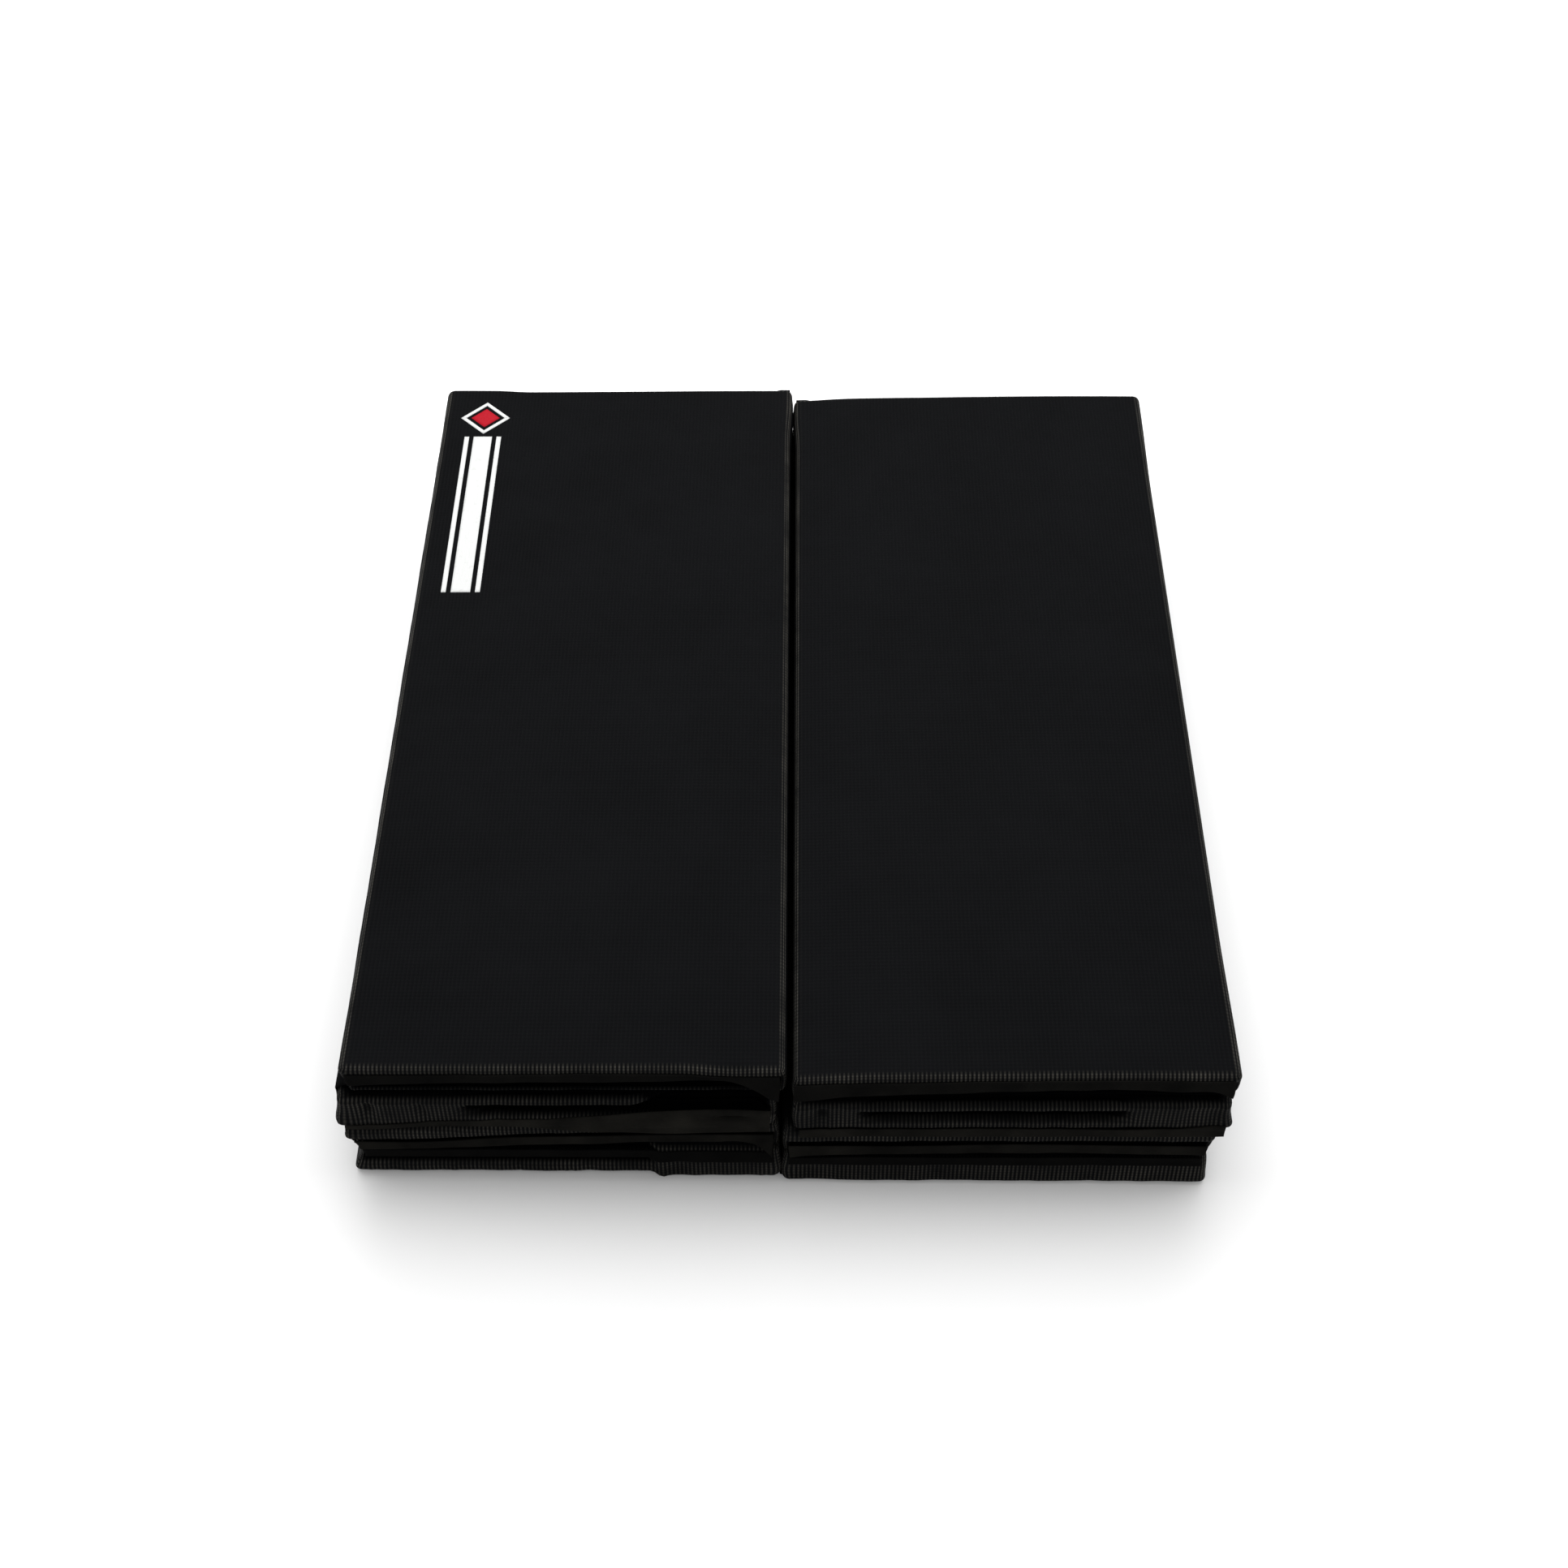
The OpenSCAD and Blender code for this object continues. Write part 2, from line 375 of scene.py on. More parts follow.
def rounded(grid, half):
    """A block's grid with its edges and corners rounded."""
    inner = np.clip(grid, -(half - EDGE_RADIUS), half - EDGE_RADIUS)
    outward = grid - inner
    outward *= EDGE_RADIUS / np.maximum(np.linalg.norm(outward, axis=1), 1e-9)[:, None]
    return inner + outward


def panel_points(panel, grid):
    """The cover's skin from a block's grid, and how far each point of its ends stands proud."""
    half = np.array(panel.half)
    points = rounded(grid, half)
    x, y = points[:, 0].copy(), points[:, 1].copy()
    drop = half[2] - points[:, 2]
    frame_x = x + panel.middle.x
    proud = np.zeros_like(x)
    for side in (-1, 1):
        at_side = smooth(side * x, half[0] - 0.012, half[0] - 0.002)
        points[:, 0] += side * at_side * side_bulge(panel, drop, y, side)
    points[:, 2] += crown(panel, x, y) * smooth(points[:, 2], -half[2], half[2])
    for way in (-1, 1):
        near_end = smooth(way * y, half[1] - 0.030, half[1] - 0.004)
        stands = near_end * end_shape(panel, frame_x, drop, way)
        points[:, 1] += way * stands
        proud += stands
        if way < 0:
            tip = smooth(-y, half[1] - 0.009, half[1] - 0.001)
            points[:, 2] -= tip * end_droop(panel, frame_x, drop)
    return settle(points + np.array(panel.middle), panel.middle.x > 0), proud


# How much smaller the foam is than its panel, on each side.
FOAM_INSET = np.array((4.8 * MM, 17 * MM, 1.4 * MM))


def foam_points(panel, grid):
    """The foam under the skin: a rounded block, short enough to stay behind the hollow ends."""
    half = np.array(panel.half) - FOAM_INSET
    points = rounded(grid * (half / np.array(panel.half)), half)
    points[:, 2] += crown(panel, points[:, 0], points[:, 1]) * smooth(points[:, 2], -half[2], half[2])
    return settle(points + np.array(panel.middle), panel.middle.x > 0)


def grid_quads(sheet, turned):
    """Four-cornered faces over a grid of point numbers, or the same seen from their other side."""
    quads = [sheet[:-1, :-1], sheet[1:, :-1], sheet[1:, 1:], sheet[:-1, 1:]]
    quads = np.stack(quads, axis=-1).reshape(-1, 4)
    return quads[:, ::-1] if turned else quads


def block_grid(half, table):
    """Points and outward faces of a block, and each face's side; table says how its grid is cut."""
    xs, ys, zs = [
        steps(size, [(reach * MM, step * MM) for reach, step in rules], coarse * MM)
        for size, (rules, coarse) in zip(half, table)
    ]
    shape = (len(xs), len(ys), len(zs))
    skin = np.zeros(shape, bool)
    skin[[0, -1]] = True
    skin[:, [0, -1]] = True
    skin[:, :, [0, -1]] = True
    index = np.full(shape, -1)
    index[skin] = np.arange(skin.sum())
    i, j, k = np.nonzero(skin)
    points = np.stack([xs[i], ys[j], zs[k]], axis=1)
    sheets = [
        ("bottom", index[:, :, 0], True),
        ("top", index[:, :, -1], False),
        ("left", index[0], True),
        ("right", index[-1], False),
        ("front", index[:, 0], False),
        ("back", index[:, -1], True),
    ]
    faces, sides = [], []
    for side, sheet, turned in sheets:
        faces.append(grid_quads(sheet, turned))
        sides += [side] * len(faces[-1])
    return points, np.concatenate(faces), np.array(sides)


def fabric_uvs(grid, faces, sides, half):
    """Metres across and along the weave; it runs over the edges and down the sides."""
    corners = grid[faces]
    across, along = corners[..., 0].copy(), corners[..., 1].copy()
    drop = half[2] - corners[..., 2]
    for side, way in (("left", -1), ("right", 1)):
        on = sides == side
        across[on] = way * (half[0] + drop[on])
    for side, way in (("front", -1), ("back", 1)):
        on = sides == side
        along[on] = way * (half[1] + drop[on])
    return np.stack([across, along], axis=-1).reshape(-1, 2)


def edge_glint(grid, half, proud):
    """Share of painted highlight on the rib crests: 1 on a panel's rounded edges, a fixed share over its
    ends, and 0 on its faces and in hollows.
    """
    depth = np.sort(half - np.abs(grid), axis=1)
    on_edges = 1 - smooth(depth[:, 1], 2 * MM, EDGE_RADIUS)
    on_ends = END_GLINT * (1 - smooth(half[1] - np.abs(grid[:, 1]), 1 * MM, 4 * MM))
    return np.maximum(on_edges, on_ends) * smooth(proud, -5 * MM, -1 * MM)


def make_cover(panel):
    half = np.array(panel.half)
    grid, faces, sides = block_grid(half, COVER_STEPS)
    points, proud = panel_points(panel, grid)
    uvs = fabric_uvs(grid, faces, sides, half)
    # Painted shade: the skin set back behind the end's plane is drawn near black.
    hollow = 1 - smooth(proud, -6.5 * MM, -1.5 * MM)
    # Painted highlight on the rib crests of edges and ends, and painted shade in the recesses.
    marks = {"pale_share": edge_glint(grid, half, proud), "hollow": hollow}
    cover = make_mesh(f"panel_cover_{panel.number}", points, faces, uvs, marks)
    cover.data.materials.append(materials["vinyl"])
    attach(cover, f"panel_{panel.number}")
    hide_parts(f"back_cover_{panel.number}", f"face_cover_{panel.number}")


def make_foam(panel):
    grid, faces, _ = block_grid(np.array(panel.half), FOAM_STEPS)
    foam = make_mesh(f"foam_pad_{panel.number}", foam_points(panel, grid), faces)
    foam.data.materials.append(materials["foam"])
    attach(foam, f"panel_{panel.number}")
    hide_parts(f"foam_core_{panel.number}")


# ---------------------------------------------------------------- thin strips: hems and webs

# How far a strip's rounded rims reach past its middle lines, in thicknesses.
RIM_REACH = 0.35


def strip(lines, thickness):
    """Points, faces and uvs of a closed strip of cloth; lines holds its rows of middle points."""
    lines = np.asarray(lines, float)
    along = np.gradient(lines, axis=0)
    across = np.gradient(lines, axis=1)
    normal = np.cross(along, across)
    normal /= np.maximum(np.linalg.norm(normal, axis=2), 1e-12)[..., None]
    upper = lines + normal * thickness / 2
    lower = lines - normal * thickness / 2
    outward = across[:, [0, -1]]
    outward = outward / np.maximum(np.linalg.norm(outward, axis=2), 1e-12)[..., None]
    outward = outward * np.array([1, -1])[None, :, None]
    rim = lines[:, [0, -1]] - outward * thickness * RIM_REACH
    loops = np.concatenate([rim[:, :1], upper, rim[:, 1:], lower[:, ::-1]], axis=1)
    rows, around = loops.shape[:2]
    index = np.arange(rows * around).reshape(rows, around)
    next_column = np.roll(index, -1, axis=1)
    quads = np.stack([index[:-1], index[1:], next_column[1:], next_column[:-1]], axis=-1)
    faces = [tuple(q) for q in quads.reshape(-1, 4)]
    faces.append(tuple(index[0]))
    faces.append(tuple(index[-1][::-1]))
    reach = np.concatenate([[0], np.cumsum(np.linalg.norm(np.diff(lines[:, 0], axis=0), axis=1))])
    width = np.linalg.norm(np.diff(lines, axis=1), axis=2).mean(axis=0)
    across_at = np.concatenate([[0], np.cumsum(width)])
    loop_v = np.concatenate([across_at[:1], across_at, across_at[-1:], across_at[::-1]])
    uv_points = np.stack(
        [np.repeat(reach[:, None], around, 1), np.repeat(loop_v[None], rows, 0)], axis=-1
    ).reshape(-1, 2)
    uvs = np.concatenate([uv_points[list(face)] for face in faces])
    return loops.reshape(-1, 3), faces, uvs


def joined(parts):
    """Points, faces and uvs of several parts as one mesh's."""
    points, faces, uvs = [], [], []
    for new_points, new_faces, new_uvs in parts:
        start = sum(len(p) for p in points)
        points.append(new_points)
        faces += [tuple(i + start for i in face) for face in new_faces]
        uvs.append(new_uvs)
    return np.concatenate(points), faces, np.concatenate(uvs)


# Each front hem in mm: x in the frame, where it starts below the panel's upper side, and how long it
# hangs, or how far it stands up where that is negative.
HEM_LINES = {
    1: [(-386, 9, 13), (-340, 9, 9.5), (-250, 7.5, 8.5), (-110, 7, 8), (-62, 8, 5.5), (-47, 9, 6),
        (-34, 9, 12), (-22, 9, 20), (-10, 9, 29), (0, 9, 33)],
    2: [(-390, 36, 4), (-330, 34, 5), (-249, 30, 9), (-177, 27, 18), (-105, 18, 28), (-47, 15.5, 30),
        (-8, 18, 26)],
    3: [(-388, 28, 9), (-321, 28, 7), (-249, 20.7, 8.5), (-177, 18, 9), (-105, 15.5, 7),
        (-60, 15, 7), (-36, 15, 8), (-24, 15, 13), (-14, 15, 23), (-5, 15, 36)],
    4: [(-386, 11, -10.5), (-200, 11, -10.5), (0, 11, -10.5)],
    5: [(0, 10.5, -10.5), (200, 10.5, -10.5), (386, 10.5, -10.5)],
    6: [(-2, 23, 15), (20, 23, 12), (96, 24, 9), (204, 21, 9.5), (312, 23, 9), (386, 24, 10)],
    7: [(4, 38, 10.5), (200, 38, 10.5), (340, 38, 10.5), (366, 34, 14), (392, 32, 15)],
    8: [(2, 8, 20), (30, 8, 18), (60, 8, 15), (100, 8, 13.5), (200, 6, 11), (340, 6, 11.5),
        (372, 6.5, 13), (386, 7, 20)],
}
# How far each hem stands out from the end's plane at its root and at its free edge, in mm.
HEM_FLARES = {
    1: (0.6, 2.4), 2: (1.4, 2.8), 3: (1.2, 3.0), 4: (0, 0),
    5: (0, 0), 6: (1.2, 3.2), 7: (1.7, 3.0), 8: (0.6, 3.0),
}
# How far in mm a hem's inner end leans over the gap, by panel and end (1 is the back).
HEM_SPREADS = {(1, 1): 3.2, (8, 1): 3.2, (8, -1): 4.0}
# How much each panel's hems are lightened, in patches.
HEM_PALING = {1: 0.25, 2: 0.9, 3: 0.6, 4: 0.1, 5: 0.1, 6: 0.6, 7: 0.8, 8: 0.35}
HEM_THICKNESS = 1.5 * MM
HEM_CLEARANCE = 0.95  # in mm, from the cover's skin to a hem's middle
# The back flaps by the gap: where they start below the upper side, and how long they hang, in mm.
FLAP_START = 3.5
FLAP_LENGTH = 38


def hem_lines(panel, way):
    """Middle lines of one end's hem: a lip across the end, sewn to the cover along its root."""
    half = panel.half
    seed = 10 * panel.number + way
    root, edge = HEM_FLARES[panel.number]
    knots = np.array(HEM_LINES[panel.number], float)
    usual = np.median(knots[:, 2])
    spread = HEM_SPREADS.get((panel.number, way), 0)
    xs = steps(half.x - 3 * MM, [(24 * MM, 2.4 * MM)], 5 * MM)
    share = np.linspace(0, 1, 21 if panel.number == 2 else 11)
    rows = []
    for x in xs:
        frame_x = x + panel.middle.x
        knot_x = frame_x
        if way > 0 and not panel.on_top:
            knot_x = panel.middle.x - x
        start = curve(knot_x / MM, knots[:, :2])
        long = curve(knot_x / MM, knots[:, [0, 2]])
        if way > 0:  # the back hems vary less, and hang as flaps by the gap on the top panels
            corner = smooth(panel.inner * x, half.x - 0.024, half.x - 0.012) * panel.on_top
            long = usual + 0.6 * (long - usual)
            start = start + (FLAP_START - start) * corner
            long = long + (FLAP_LENGTH - long) * corner
        long = long * (1 + 0.06 * waves(x, seed + 60, 0.21))
        drop = start + long * share
        flare = (edge - root) * (1 + 0.3 * waves(x, seed + 70, 0.18)) + 0.10 * max(0, abs(long) - 12)
        proud = root + flare * share**1.4
        if panel.number == 2:
            near_gap = float(smooth(knot_x, -0.20, -0.08))
            ripple = 1.6 * np.sin(math.pi * share) + 0.9 * np.sin(4.2 * math.pi * share)
            proud = proud + near_gap * ripple
            proud = proud - 7.0 * bump_at(knot_x / MM, -46, 11) * bump_at(share, 0.36, 0.09)
        at_x = np.full_like(drop, frame_x)
        at_drop = np.clip(drop, 0, PANEL_THICKNESS) * MM
        skin = end_shape(panel, at_x, at_drop, way) / MM
        proud = np.maximum(proud, skin + HEM_CLEARANCE)
        y = way * (half.y + proud * MM)
        z = half.z - drop * MM
        side = np.sign(x) if x else 1
        reach = side_bulge(panel, at_drop, way * half.y, side) - 1.2 * MM
        beyond = smooth(abs(x), half.x - 0.030, half.x - 0.003)
        out = np.full_like(y, x) + side * beyond * (np.minimum(reach, 1.5 * MM) - 1.5 * MM)
        if side == panel.inner:
            out = out + side * beyond * spread * MM
        if way < 0:
            z = z - end_droop(panel, at_x, at_drop)
        rows.append(np.stack([out, y, z], axis=1))
    return np.array(rows) + np.array(panel.middle)


def make_hem(panel):
    """Both end strips of a panel, as one piece."""
    strips = []
    for way in (-1, 1):
        lines = hem_lines(panel, way)
        # Rows run so that the strip's first side lies against the cover.
        if (way > 0) != panel.on_floor:
            lines = lines[::-1]
        strips.append(strip(lines, HEM_THICKNESS))
    points, faces, uvs = joined(strips)
    points = settle(points, panel.middle.x > 0)
    patches = 0.75 + 0.25 * waves(points[:, 0], 900 + panel.number, 0.15)
    marks = {"pale_share": HEM_PALING[panel.number] * patches}
    hem = make_mesh(f"end_hem_{panel.number}", points, faces, uvs, marks)
    hem.data.materials.append(materials["hem"])
    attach(hem, f"panel_{panel.number}")
    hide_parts(f"end_hems_{panel.number}")


# ---------------------------------------------------------------- materials

class Nodes:
    """Short calls that build a node tree."""

    def __init__(self, name):
        self.material = bpy.data.materials.new(name)
        self.material.use_nodes = True
        self.tree = self.material.node_tree
        self.shader = self.tree.nodes["Principled BSDF"]

    def add(self, kind, **settings):
        node = self.tree.nodes.new(kind)
        for name, value in settings.items():
            setattr(node, name, value)
        return node

    def feed(self, socket, value):
        if isinstance(value, bpy.types.NodeSocket):
            self.tree.links.new(value, socket)
        else:
            socket.default_value = value

    def math(self, operation, first, second=0.0, third=0.0):
        node = self.add("ShaderNodeMath", operation=operation)
        for socket, value in zip(node.inputs, (first, second, third)):
            self.feed(socket, value)
        return node.outputs[0]

    def blend(self, share, first, second):
        node = self.add("ShaderNodeMix", data_type="RGBA")
        self.feed(node.inputs["Factor"], share)
        self.feed(node.inputs[6], first)
        self.feed(node.inputs[7], second)
        return node.outputs[2]

    def noise(self, place, scale, detail, rough):
        node = self.add("ShaderNodeTexNoise")
        self.feed(node.inputs["Vector"], place)
        node.inputs["Scale"].default_value = scale
        node.inputs["Detail"].default_value = detail
        node.inputs["Roughness"].default_value = rough
        return node.outputs["Fac"]

    def place(self):
        return self.add("ShaderNodeTexCoord").outputs["Object"]

    def mark(self, name):
        """The values that make_mesh stored at a mesh's points under this name."""
        return self.add("ShaderNodeAttribute", attribute_name=name).outputs["Fac"]

    def fabric(self):
        """Metres across and along the weave."""
        split = self.add("ShaderNodeSeparateXYZ")
        uv = self.add("ShaderNodeUVMap", uv_map="Fabric")
        self.feed(split.inputs[0], uv.outputs[0])
        return split.outputs[0], split.outputs[1]

    def bump(self, height, distance):
        node = self.add("ShaderNodeBump")
        node.inputs["Strength"].default_value = 1.0
        node.inputs["Distance"].default_value = distance
        self.feed(node.inputs["Height"], height)
        return node.outputs[0]

    def set(self, **sockets):
        names = {
            "color": "Base Color",
            "rough": "Roughness",
            "normal": "Normal",
            "specular": "Specular IOR Level",
        }
        for name, value in sockets.items():
            self.feed(self.shader.inputs[names[name]], value)


def thread(nodes, distance, pitch):
    """0 between threads and 1 on their crests."""
    wave = nodes.math("SINE", nodes.math("MULTIPLY", distance, 2 * math.pi / pitch))
    return nodes.math("MULTIPLY_ADD", wave, 0.5, 0.5)


def weave_height(nodes, across, along):
    """Threads under the vinyl: strong ribs along the mat and weaker picks across it."""
    ribs = nodes.math("MULTIPLY", thread(nodes, across, RIB_PITCH), 0.70)
    return nodes.math("MULTIPLY_ADD", thread(nodes, along, PICK_PITCH), 0.30, ribs)


def vinyl_material():
    """Woven black vinyl: cloudy, with painted shade in hollows and painted highlights on its rib crests
    along edges and ends.
    """
    nodes = Nodes("black_vinyl")
    across, along = nodes.fabric()
    weave = weave_height(nodes, across, along)
    crest = nodes.math("POWER", thread(nodes, across, RIB_PITCH), 2.0)
    broken = nodes.math("MULTIPLY_ADD", thread(nodes, along, PICK_PITCH), 0.5, 0.5)
    place = nodes.place()
    cloud = nodes.noise(place, 7.0, 8.0, 0.72)
    patches = nodes.noise(place, 24.0, 3.0, 0.6)
    grain = nodes.noise(place, 900.0, 2.0, 0.6)
    pale_share = nodes.mark("pale_share")
    # Painted highlight on the rib crests, broken by the picks and uneven in patches.
    rib_glint = nodes.math("MULTIPLY", nodes.math("MULTIPLY", pale_share, crest), broken)
    rib_glint = nodes.math("MULTIPLY", rib_glint, nodes.math("MULTIPLY_ADD", patches, 1.6, -0.2))
    color = nodes.blend(cloud, (0.0014, 0.00145, 0.0016, 1), (0.0040, 0.0042, 0.0047, 1))
    # Painted sheen: the weave's crests are drawn slightly lighter.
    color = nodes.blend(nodes.math("MULTIPLY", weave, 0.30), color, (0.0052, 0.0053, 0.0056, 1))
    # Painted shade: recesses are drawn near black.
    hollow = nodes.mark("hollow")
    color = nodes.blend(hollow, color, (0.0003, 0.0003, 0.0004, 1))
    # Painted highlight: rib crests on the rounded edges and ends are drawn pale.
    color = nodes.blend(rib_glint, color, (0.056, 0.053, 0.046, 1))
    rough = nodes.math("MULTIPLY_ADD", cloud, 0.14, 0.28)
    height = nodes.math("ADD", weave, nodes.math("MULTIPLY", grain, 0.10))
    normal = nodes.bump(height, 0.40 * MM)
    nodes.set(color=color, rough=rough, normal=normal, specular=0.003)
    return nodes.material


def smooth_vinyl_material(name, dark, light, specular):
    """Smoother vinyl for hems and webs, with only a faint weave."""
    nodes = Nodes(name)
    across, along = nodes.fabric()
    place = nodes.place()
    cloud = nodes.noise(place, 30.0, 3.0, 0.6)
    grain = nodes.noise(place, 1400.0, 2.0, 0.6)
    weave = weave_height(nodes, across, along)
    pale_share = nodes.mark("pale_share")
    color = nodes.blend(cloud, dark, light)
    # Lighter in cloudy patches, by each hem's share.
    color = nodes.blend(nodes.math("MULTIPLY", pale_share, cloud), color, (0.0165, 0.0155, 0.0130, 1))
    rough = nodes.math("MULTIPLY_ADD", cloud, 0.18, 0.36)
    height = nodes.math("ADD", nodes.math("MULTIPLY", weave, 0.10), nodes.math("MULTIPLY", grain, 0.3))
    normal = nodes.bump(height, 0.12 * MM)
    nodes.set(color=color, rough=rough, normal=normal, specular=specular)
    return nodes.material


def foam_material():
    """Fine grey closed-cell foam."""
    nodes = Nodes("grey_foam")
    place = nodes.place()
    cells = nodes.noise(place, 700.0, 4.0, 0.7)
    tint = nodes.noise(place, 12.0, 2.0, 0.5)
    color = nodes.blend(tint, (0.28, 0.28, 0.26, 1), (0.33, 0.33, 0.31, 1))
    color = nodes.blend(nodes.math("MULTIPLY", cells, 0.4), color, (0.35, 0.35, 0.32, 1))
    nodes.set(color=color, rough=0.9, normal=nodes.bump(cells, 0.5 * MM), specular=0.2)
    return nodes.material


def print_material(name, fresh, worn):
    """Ink over the weave, with small worn specks."""
    nodes = Nodes(name)
    across, along = nodes.fabric()
    weave = weave_height(nodes, across, along)
    place = nodes.place()
    patch = nodes.noise(place, 160.0, 4.0, 0.65)
    share = nodes.math("MULTIPLY", nodes.math("GREATER_THAN", patch, 0.62), 0.35)
    color = nodes.blend(share, fresh, worn)
    rough = nodes.math("MULTIPLY_ADD", patch, 0.2, 0.4)
    nodes.set(color=color, rough=rough, normal=nodes.bump(weave, 0.18 * MM), specular=0.03)
    return nodes.material


def floor_material():
    """Pale near the mat and paler far from it, where less light reaches."""
    nodes = Nodes("pale_floor")
    place = nodes.place()
    cloud = nodes.noise(place, 1.5, 2.0, 0.5)
    color = nodes.blend(cloud, (0.61, 0.61, 0.61, 1), (0.63, 0.63, 0.63, 1))
    radius = nodes.add("ShaderNodeVectorMath", operation="LENGTH")
    nodes.feed(radius.inputs[0], place)
    far = nodes.add("ShaderNodeMapRange", interpolation_type="SMOOTHSTEP")
    nodes.feed(far.inputs["Value"], radius.outputs["Value"])
    far.inputs["From Min"].default_value = 1.4
    far.inputs["From Max"].default_value = 3.4
    color = nodes.blend(far.outputs["Result"], color, (0.96, 0.96, 0.96, 1))
    nodes.set(color=color, rough=0.85, specular=0.1)
    return nodes.material


# ---------------------------------------------------------------- fold webs

WEB_THICKNESS = 0.8 * MM


def web_steps(half):
    return steps(half, [(12 * MM, 4 * MM)], 14 * MM)


def fold_web(name, upper, lower, way):
    """Web at a stack's right (way 1) or left side, from the upper panel out to the fold and back."""
    low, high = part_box(name)
    fold_z = (low.z + high.z) / 2
    reach = (high.z - low.z) / 2
    middle_y = (low.y + high.y) / 2
    fold_x = high.x if way > 0 else low.x
    seed = sum(map(ord, name))
    rows = []
    for y in web_steps((high.y - low.y) / 2):
        wave = waves(y, seed, 0.17)
        line = []
        for share in np.linspace(1, -1, 17):
            panel = upper if share > 0 else lower
            side = panel.middle.x + way * (panel.half.x + 0.45 * MM)
            z = fold_z + share * reach * (1 + 0.02 * wave)
            drop = np.clip(panel.top - z, 0, 2 * panel.half.z)
            wall = side + way * float(side_bulge(panel, drop, y, way))
            out = float(1 - smooth(abs(share), 0.0, 0.45))
            crest = fold_x - way * (0.45 + 0.25 * wave) * MM
            line.append((wall + (crest - wall) * out, y + middle_y, z))
        rows.append(line)
    rows = np.array(rows)
    # Rows run so that the strip's first side faces outwards.
    if way > 0:
        rows = rows[::-1]
    finish_web(name, rows, lower)


def middle_web(name, left, right):
    """Web along the floor between the two stacks, sewn to both inner sides."""
    low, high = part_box(name)
    height = high.z - low.z
    middle_y = (low.y + high.y) / 2
    x0, x1 = low.x + 0.5 * MM, high.x - 0.5 * MM
    floor_z = low.z + 0.5 * MM
    turn = 0.45 * (x1 - x0)

    def bend(x, degrees):
        """Points of a quarter turn about x, at the web's lower corner."""
        angles = [math.radians(a) for a in degrees]
        return [(x + turn * math.cos(a), floor_z + turn + turn * math.sin(a)) for a in angles]

    down = [(x0, floor_z + height * t) for t in np.linspace(0.96, 0.25, 5)]
    down += bend(x0 + turn, (180, 202, 225, 247, 270))
    up = bend(x1 - turn, (270, 293, 315, 338, 360))
    up += [(x1, floor_z + height * t) for t in np.linspace(0.25, 0.96, 5)]
    rows = []
    for y in web_steps(left.half.y - 3 * MM):
        wave = waves(y, 77, 0.15)
        line = down + [((x0 + x1) / 2, floor_z + (0.4 + 0.3 * wave) * MM)] + up
        rows.append([(x, y + middle_y, z) for x, z in line])
    finish_web(name, np.array(rows), right)


def finish_web(name, rows, second):
    """A web from its middle lines; it turns from the first panel to the second between start and end."""
    points, faces, uvs = strip(rows, WEB_THICKNESS)
    points = settle(points, second.middle.x > 0)
    web = make_mesh(name.replace("fold_web", "hinge_web"), points, faces, uvs)
    web.data.materials.append(materials["web"])
    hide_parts(name)
    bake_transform(web)


def make_webs():
    fold_web("fold_web_12", panels[1], panels[2], -1)
    fold_web("fold_web_23", panels[2], panels[3], 1)
    fold_web("fold_web_34", panels[3], panels[4], -1)
    fold_web("fold_web_56", panels[6], panels[5], 1)
    fold_web("fold_web_67", panels[7], panels[6], -1)
    fold_web("fold_web_78", panels[8], panels[7], 1)
    middle_web("fold_web_45", panels[4], panels[5])


# ---------------------------------------------------------------- printed mark

FILM_CELL = 4 * MM
# How far the film reaches below and above the top panel's upper side.
FILM_SINK = -0.10 * MM
FILM_RISE = 0.28 * MM
THIN_STRIPE = 5 * MM
WIDE_STRIPE = 20 * MM
FRAME_HOLE = 30 / 38  # the frame's opening as a share of its outer reach


def film(corners):
    """Points, faces and uvs of a thin closed film over four corners on the left top panel."""
    corners = np.array(corners, float)
    across, along = corners[1] - corners[0], corners[3] - corners[0]
    columns = max(2, round(np.linalg.norm(across) / FILM_CELL) + 1)
    rows = max(2, round(np.linalg.norm(along) / FILM_CELL) + 1)
    s, t = np.meshgrid(np.linspace(0, 1, columns), np.linspace(0, 1, rows), indexing="ij")
    s, t = s[..., None], t[..., None]
    near = corners[0] * (1 - s) + corners[1] * s
    far = corners[3] * (1 - s) + corners[2] * s
    flat = near * (1 - t) + far * t
    panel = panels[1]
    x, y = flat[..., 0].ravel(), flat[..., 1].ravel()
    rise = crown(panel, x - panel.middle.x, y - panel.middle.y)
    sheets = []
    for lift in (FILM_SINK, FILM_RISE):
        sheets.append(np.stack([x, y, panel.top + rise + lift], axis=1))
    count = columns * rows
    lower = np.arange(count).reshape(columns, rows)
    upper = lower + count
    faces = []
    for sheet, turned in ((lower, True), (upper, False)):
        faces += [tuple(quad) for quad in grid_quads(sheet, turned)]
    rim = [lower[:, 0], lower[-1, :], lower[::-1, -1], lower[0, ::-1]]
    for side in rim:
        for a, b in zip(side[:-1], side[1:]):
            faces.append((a, b, b + count, a + count))
    points = settle(np.concatenate(sheets), False)
    uv_points = np.concatenate([np.stack([x, y], axis=1)] * 2)
    uvs = np.concatenate([uv_points[list(face)] for face in faces])
    return points, faces, uvs


def make_print(name, node, patches, material):
    points, faces, uvs = joined([film(corners) for corners in patches])
    piece = make_mesh(name, points, faces, uvs)
    piece.data.materials.append(materials[material])
    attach(piece, "panel_1")
    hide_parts(node)


def rectangle(x0, y0, x1, y1):
    return [(x0, y0), (x1, y0), (x1, y1), (x0, y1)]


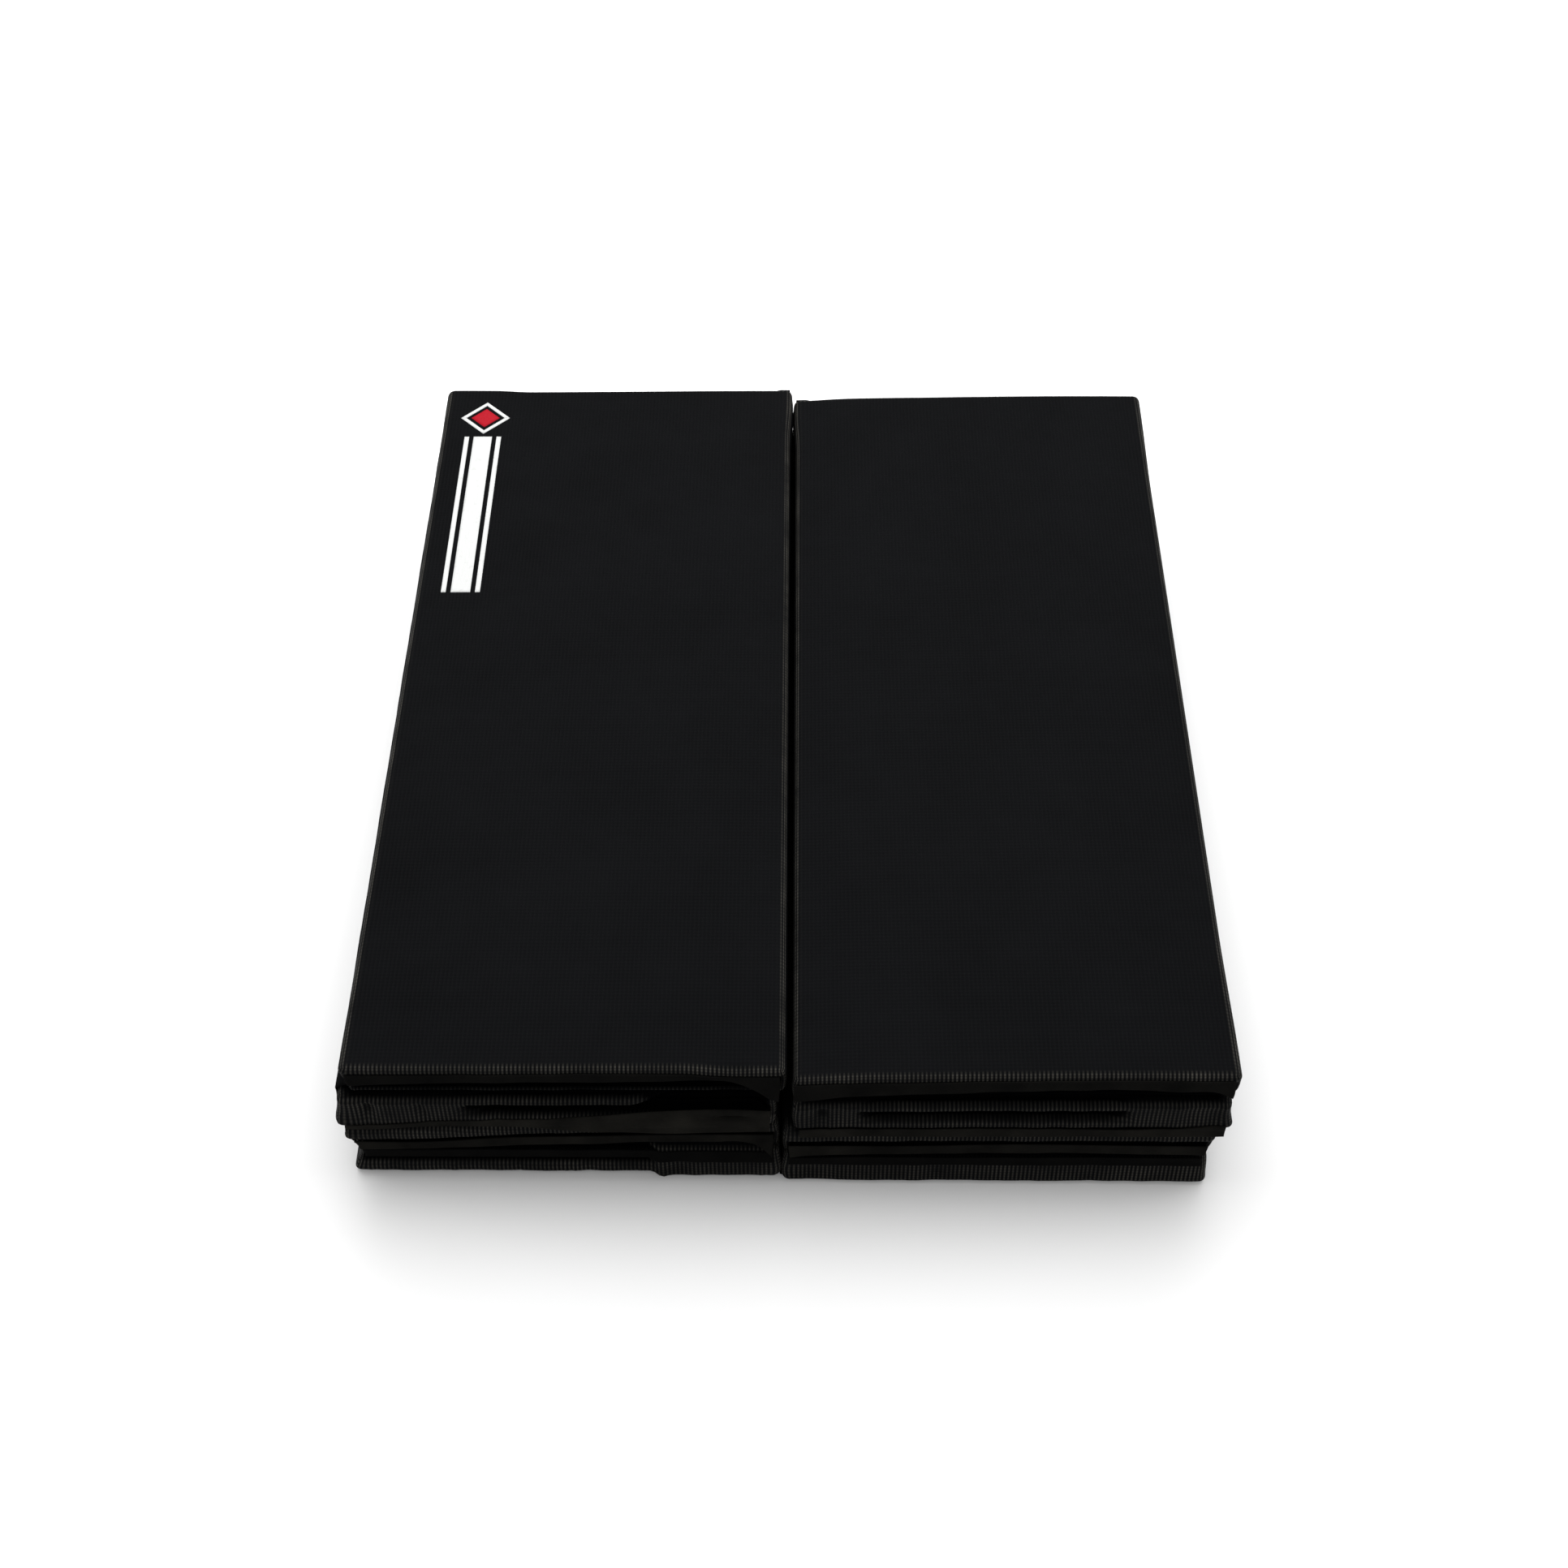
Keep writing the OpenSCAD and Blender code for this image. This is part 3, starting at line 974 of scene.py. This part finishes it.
def diamond(centre, reach):
    corners = [(0, -1), (1, 0), (0, 1), (-1, 0)]
    return [(centre[0] + x * reach, centre[1] + y * reach) for x, y in corners]


def make_prints():
    """Plain stripes and a framed diamond, in place of the photograph's mark."""
    low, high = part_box("print_stripes")
    middle = (low.x + high.x) / 2
    stripes = [
        rectangle(low.x, low.y, low.x + THIN_STRIPE, high.y),
        rectangle(middle - WIDE_STRIPE / 2, low.y, middle + WIDE_STRIPE / 2, high.y),
        rectangle(high.x - THIN_STRIPE, low.y, high.x, high.y),
    ]
    make_print("mark_stripes", "print_stripes", stripes, "print_white")
    low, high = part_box("print_frame")
    centre = ((low.x + high.x) / 2, (low.y + high.y) / 2)
    reach = (high.x - low.x) / 2
    outer = diamond(centre, reach)
    inner = diamond(centre, reach * FRAME_HOLE)
    sides = [(outer[a], outer[b], inner[b], inner[a]) for a, b in [(0, 1), (1, 2), (2, 3), (3, 0)]]
    make_print("mark_frame", "print_frame", sides, "print_white")
    low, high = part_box("print_diamond")
    make_print("mark_diamond", "print_diamond", [diamond(centre, (high.x - low.x) / 2)], "print_red")


# ---------------------------------------------------------------- the scene

make_camera()
make_studio()

DARK_VINYL = (0.0014, 0.0014, 0.0015, 1)
materials = {
    "vinyl": vinyl_material(),
    "hem": smooth_vinyl_material("hem_vinyl", DARK_VINYL, (0.0028, 0.0028, 0.0028, 1), specular=0.002),
    "web": smooth_vinyl_material("web_vinyl", DARK_VINYL, (0.0024, 0.0024, 0.0025, 1), specular=0.003),
    "foam": foam_material(),
    "print_white": print_material("white_print", (0.40, 0.405, 0.40, 1), (0.31, 0.31, 0.30, 1)),
    "print_red": print_material("red_print", (0.23, 0.004, 0.010, 1), (0.16, 0.004, 0.008, 1)),
}

floor_corners = [(x * FLOOR_HALF, y * FLOOR_HALF, 0) for x, y in [(-1, -1), (1, -1), (1, 1), (-1, 1)]]
floor = make_mesh("floor", floor_corners, [(0, 1, 2, 3)])
floor.data.materials.append(floor_material())

for panel in panels.values():
    make_foam(panel)
    make_cover(panel)
    make_hem(panel)
make_webs()
make_prints()
